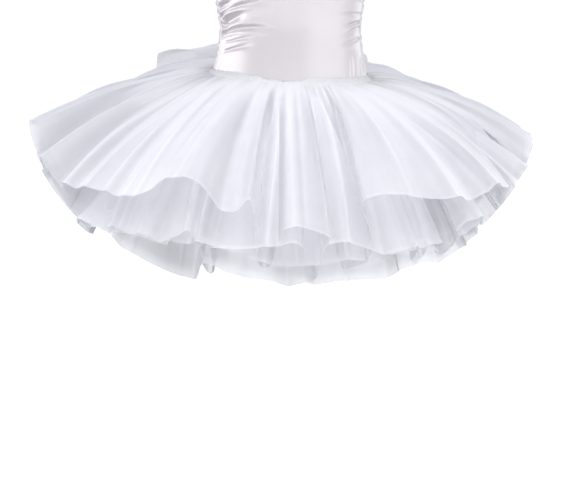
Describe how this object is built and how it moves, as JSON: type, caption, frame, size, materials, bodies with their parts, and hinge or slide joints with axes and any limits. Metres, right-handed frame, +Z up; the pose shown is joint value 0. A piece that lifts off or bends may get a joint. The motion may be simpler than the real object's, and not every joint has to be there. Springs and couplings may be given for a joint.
{
  "type": "ballet tutu",
  "caption": "Worn ballet tutu in white: satin camisole bodice and brief with gathered, layered net skirts held out from a drop waist.",
  "frame": {"origin": "middle of the waist, at the narrowest ring of the bodice, where the wearer holds the garment up", "axes": "+Z up towards the shoulders, front of the garment towards -Y, +X to the right as seen from the front"},
  "size_m": [0.8488, 0.795, 0.7702],
  "materials": {
    "satin": "white stretch satin, smooth with a soft bright sheen",
    "net": "white nylon net, sheer, crisp, faintly blue in shade"
  },
  "bodies": {
    "root": {"bodice_front": "satin", "bodice_back": "satin", "strap_left": "satin", "strap_right": "satin", "brief_front": "satin", "brief_back": "satin", "net_1": "net", "net_2": "net", "net_3": "net", "net_4": "net", "net_5": "net"}
  },
  "joints": []
}
